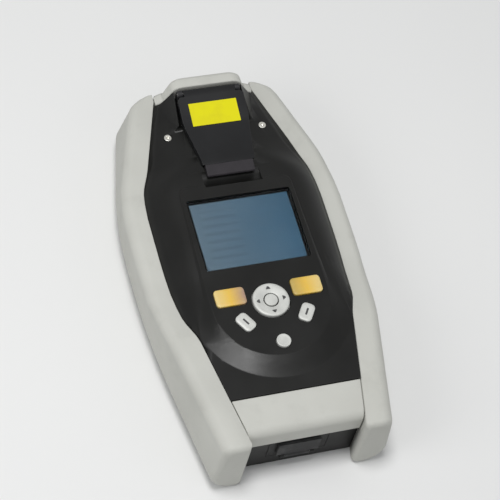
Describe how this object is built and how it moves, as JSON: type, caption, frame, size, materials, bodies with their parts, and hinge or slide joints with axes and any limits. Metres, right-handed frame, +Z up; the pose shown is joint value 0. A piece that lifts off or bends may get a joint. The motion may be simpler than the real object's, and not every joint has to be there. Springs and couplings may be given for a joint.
{
  "type": "handheld analyzer",
  "caption": "Handheld optical analyzer: black keypad and display housing in a light grey bumper, with a hinged sample cover on its raised nose.",
  "frame": {"origin": "middle of the footprint on the surface that the instrument lies on", "axes": "it lies on its back: +X to its right, +Y towards the nose, +Z up out of the face"},
  "size_m": [0.16, 0.29, 0.07],
  "materials": {
    "bumper_rubber": "satin",
    "black_housing": "satin",
    "seal_rubber": "matte",
    "screw_steel": "satin",
    "window_glass": "gloss",
    "display": "satin",
    "board_green": "satin",
    "amber_key": "satin",
    "silver_key": "satin",
    "inner_plastic": "matte",
    "lip_grey": "satin",
    "plate_yellow": "satin",
    "optics_metal": "satin"
  },
  "bodies": {
    "housing": {"front_cover": "black_housing", "rear_cover": "black_housing", "bumper_left": "bumper_rubber", "bumper_right": "bumper_rubber", "bumper_bar": "bumper_rubber", "bumper_hoop": "bumper_rubber", "housing_gasket": "seal_rubber", "housing_screws": "screw_steel", "nose_screws": "screw_steel", "display_window": "window_glass", "display_module": "display", "keypad_mat": "seal_rubber", "keypad_board": "board_green", "keypad_screws": "screw_steel", "door_pin": "screw_steel", "hinge_bracket": "inner_plastic", "door_seal": "seal_rubber", "sample_well": "optics_metal", "lens_barrel": "optics_metal", "lens": "window_glass", "optical_plate": "optics_metal", "beam_block": "optics_metal", "laser_module": "optics_metal", "spectrometer_box": "optics_metal", "main_board": "board_green", "board_screws": "screw_steel", "battery_bay": "black_housing", "battery_pack": "inner_plastic", "battery_pin": "screw_steel", "socket_panel": "black_housing", "data_socket": "optics_metal", "port_pin": "screw_steel"},
    "sample_door_body": {"sample_door": "black_housing", "thumb_lip": "lip_grey", "door_plate": "plate_yellow"},
    "battery_door_body": {"battery_door": "black_housing"},
    "port_cover_body": {"port_cover": "seal_rubber"},
    "soft_left_body": {"soft_key_left": "amber_key"},
    "soft_right_body": {"soft_key_right": "amber_key"},
    "arc_left_body": {"arc_key_left": "silver_key"},
    "arc_right_body": {"arc_key_right": "silver_key"},
    "power_body": {"power_key": "silver_key"},
    "nav_cross_body": {"nav_cross": "inner_plastic"},
    "nav_disc_body": {"nav_disc": "silver_key"},
    "nav_select_body": {"nav_select": "silver_key"}
  },
  "joints": [
    {"name": "sample_door_hinge", "type": "hinge", "parent": "housing", "child": "sample_door_body", "pos_m": [0, 0.1312, 0.0669], "axis": [-1, 0, 0], "range_deg": [0, 100]},
    {"name": "battery_door_hinge", "type": "hinge", "parent": "housing", "child": "battery_door_body", "pos_m": [0, -0.042, 0.0036], "axis": [1, 0, 0], "range_deg": [0, 100]},
    {"name": "port_cover_hinge", "type": "hinge", "parent": "housing", "child": "port_cover_body", "pos_m": [0, -0.1351, 0.0139], "axis": [1, 0, 0], "range_deg": [0, 110]},
    {"name": "soft_left_press", "type": "slide", "parent": "housing", "child": "soft_left_body", "axis": [0, 0, -1], "range_m": [0, 0.001], "stiffness_N_per_m": 900},
    {"name": "soft_right_press", "type": "slide", "parent": "housing", "child": "soft_right_body", "axis": [0, 0, -1], "range_m": [0, 0.001], "stiffness_N_per_m": 900},
    {"name": "arc_left_press", "type": "slide", "parent": "housing", "child": "arc_left_body", "axis": [0, 0, -1], "range_m": [0, 0.001], "stiffness_N_per_m": 900},
    {"name": "arc_right_press", "type": "slide", "parent": "housing", "child": "arc_right_body", "axis": [0, 0, -1], "range_m": [0, 0.001], "stiffness_N_per_m": 900},
    {"name": "power_press", "type": "slide", "parent": "housing", "child": "power_body", "axis": [0, 0, -1], "range_m": [0, 0.001], "stiffness_N_per_m": 900},
    {"name": "nav_left_right", "type": "hinge", "parent": "housing", "child": "nav_cross_body", "pos_m": [0, -0.042, 0.05492], "axis": [0, 1, 0], "range_deg": [-3, 3], "stiffness_Nm_per_rad": 0.2},
    {"name": "nav_up_down", "type": "hinge", "parent": "nav_cross_body", "child": "nav_disc_body", "pos_m": [0, -0.042, 0.05538], "axis": [1, 0, 0], "range_deg": [-3, 3], "stiffness_Nm_per_rad": 0.2},
    {"name": "nav_select_press", "type": "slide", "parent": "housing", "child": "nav_select_body", "axis": [0, 0, -1], "range_m": [0, 0.001], "stiffness_N_per_m": 900}
  ]
}
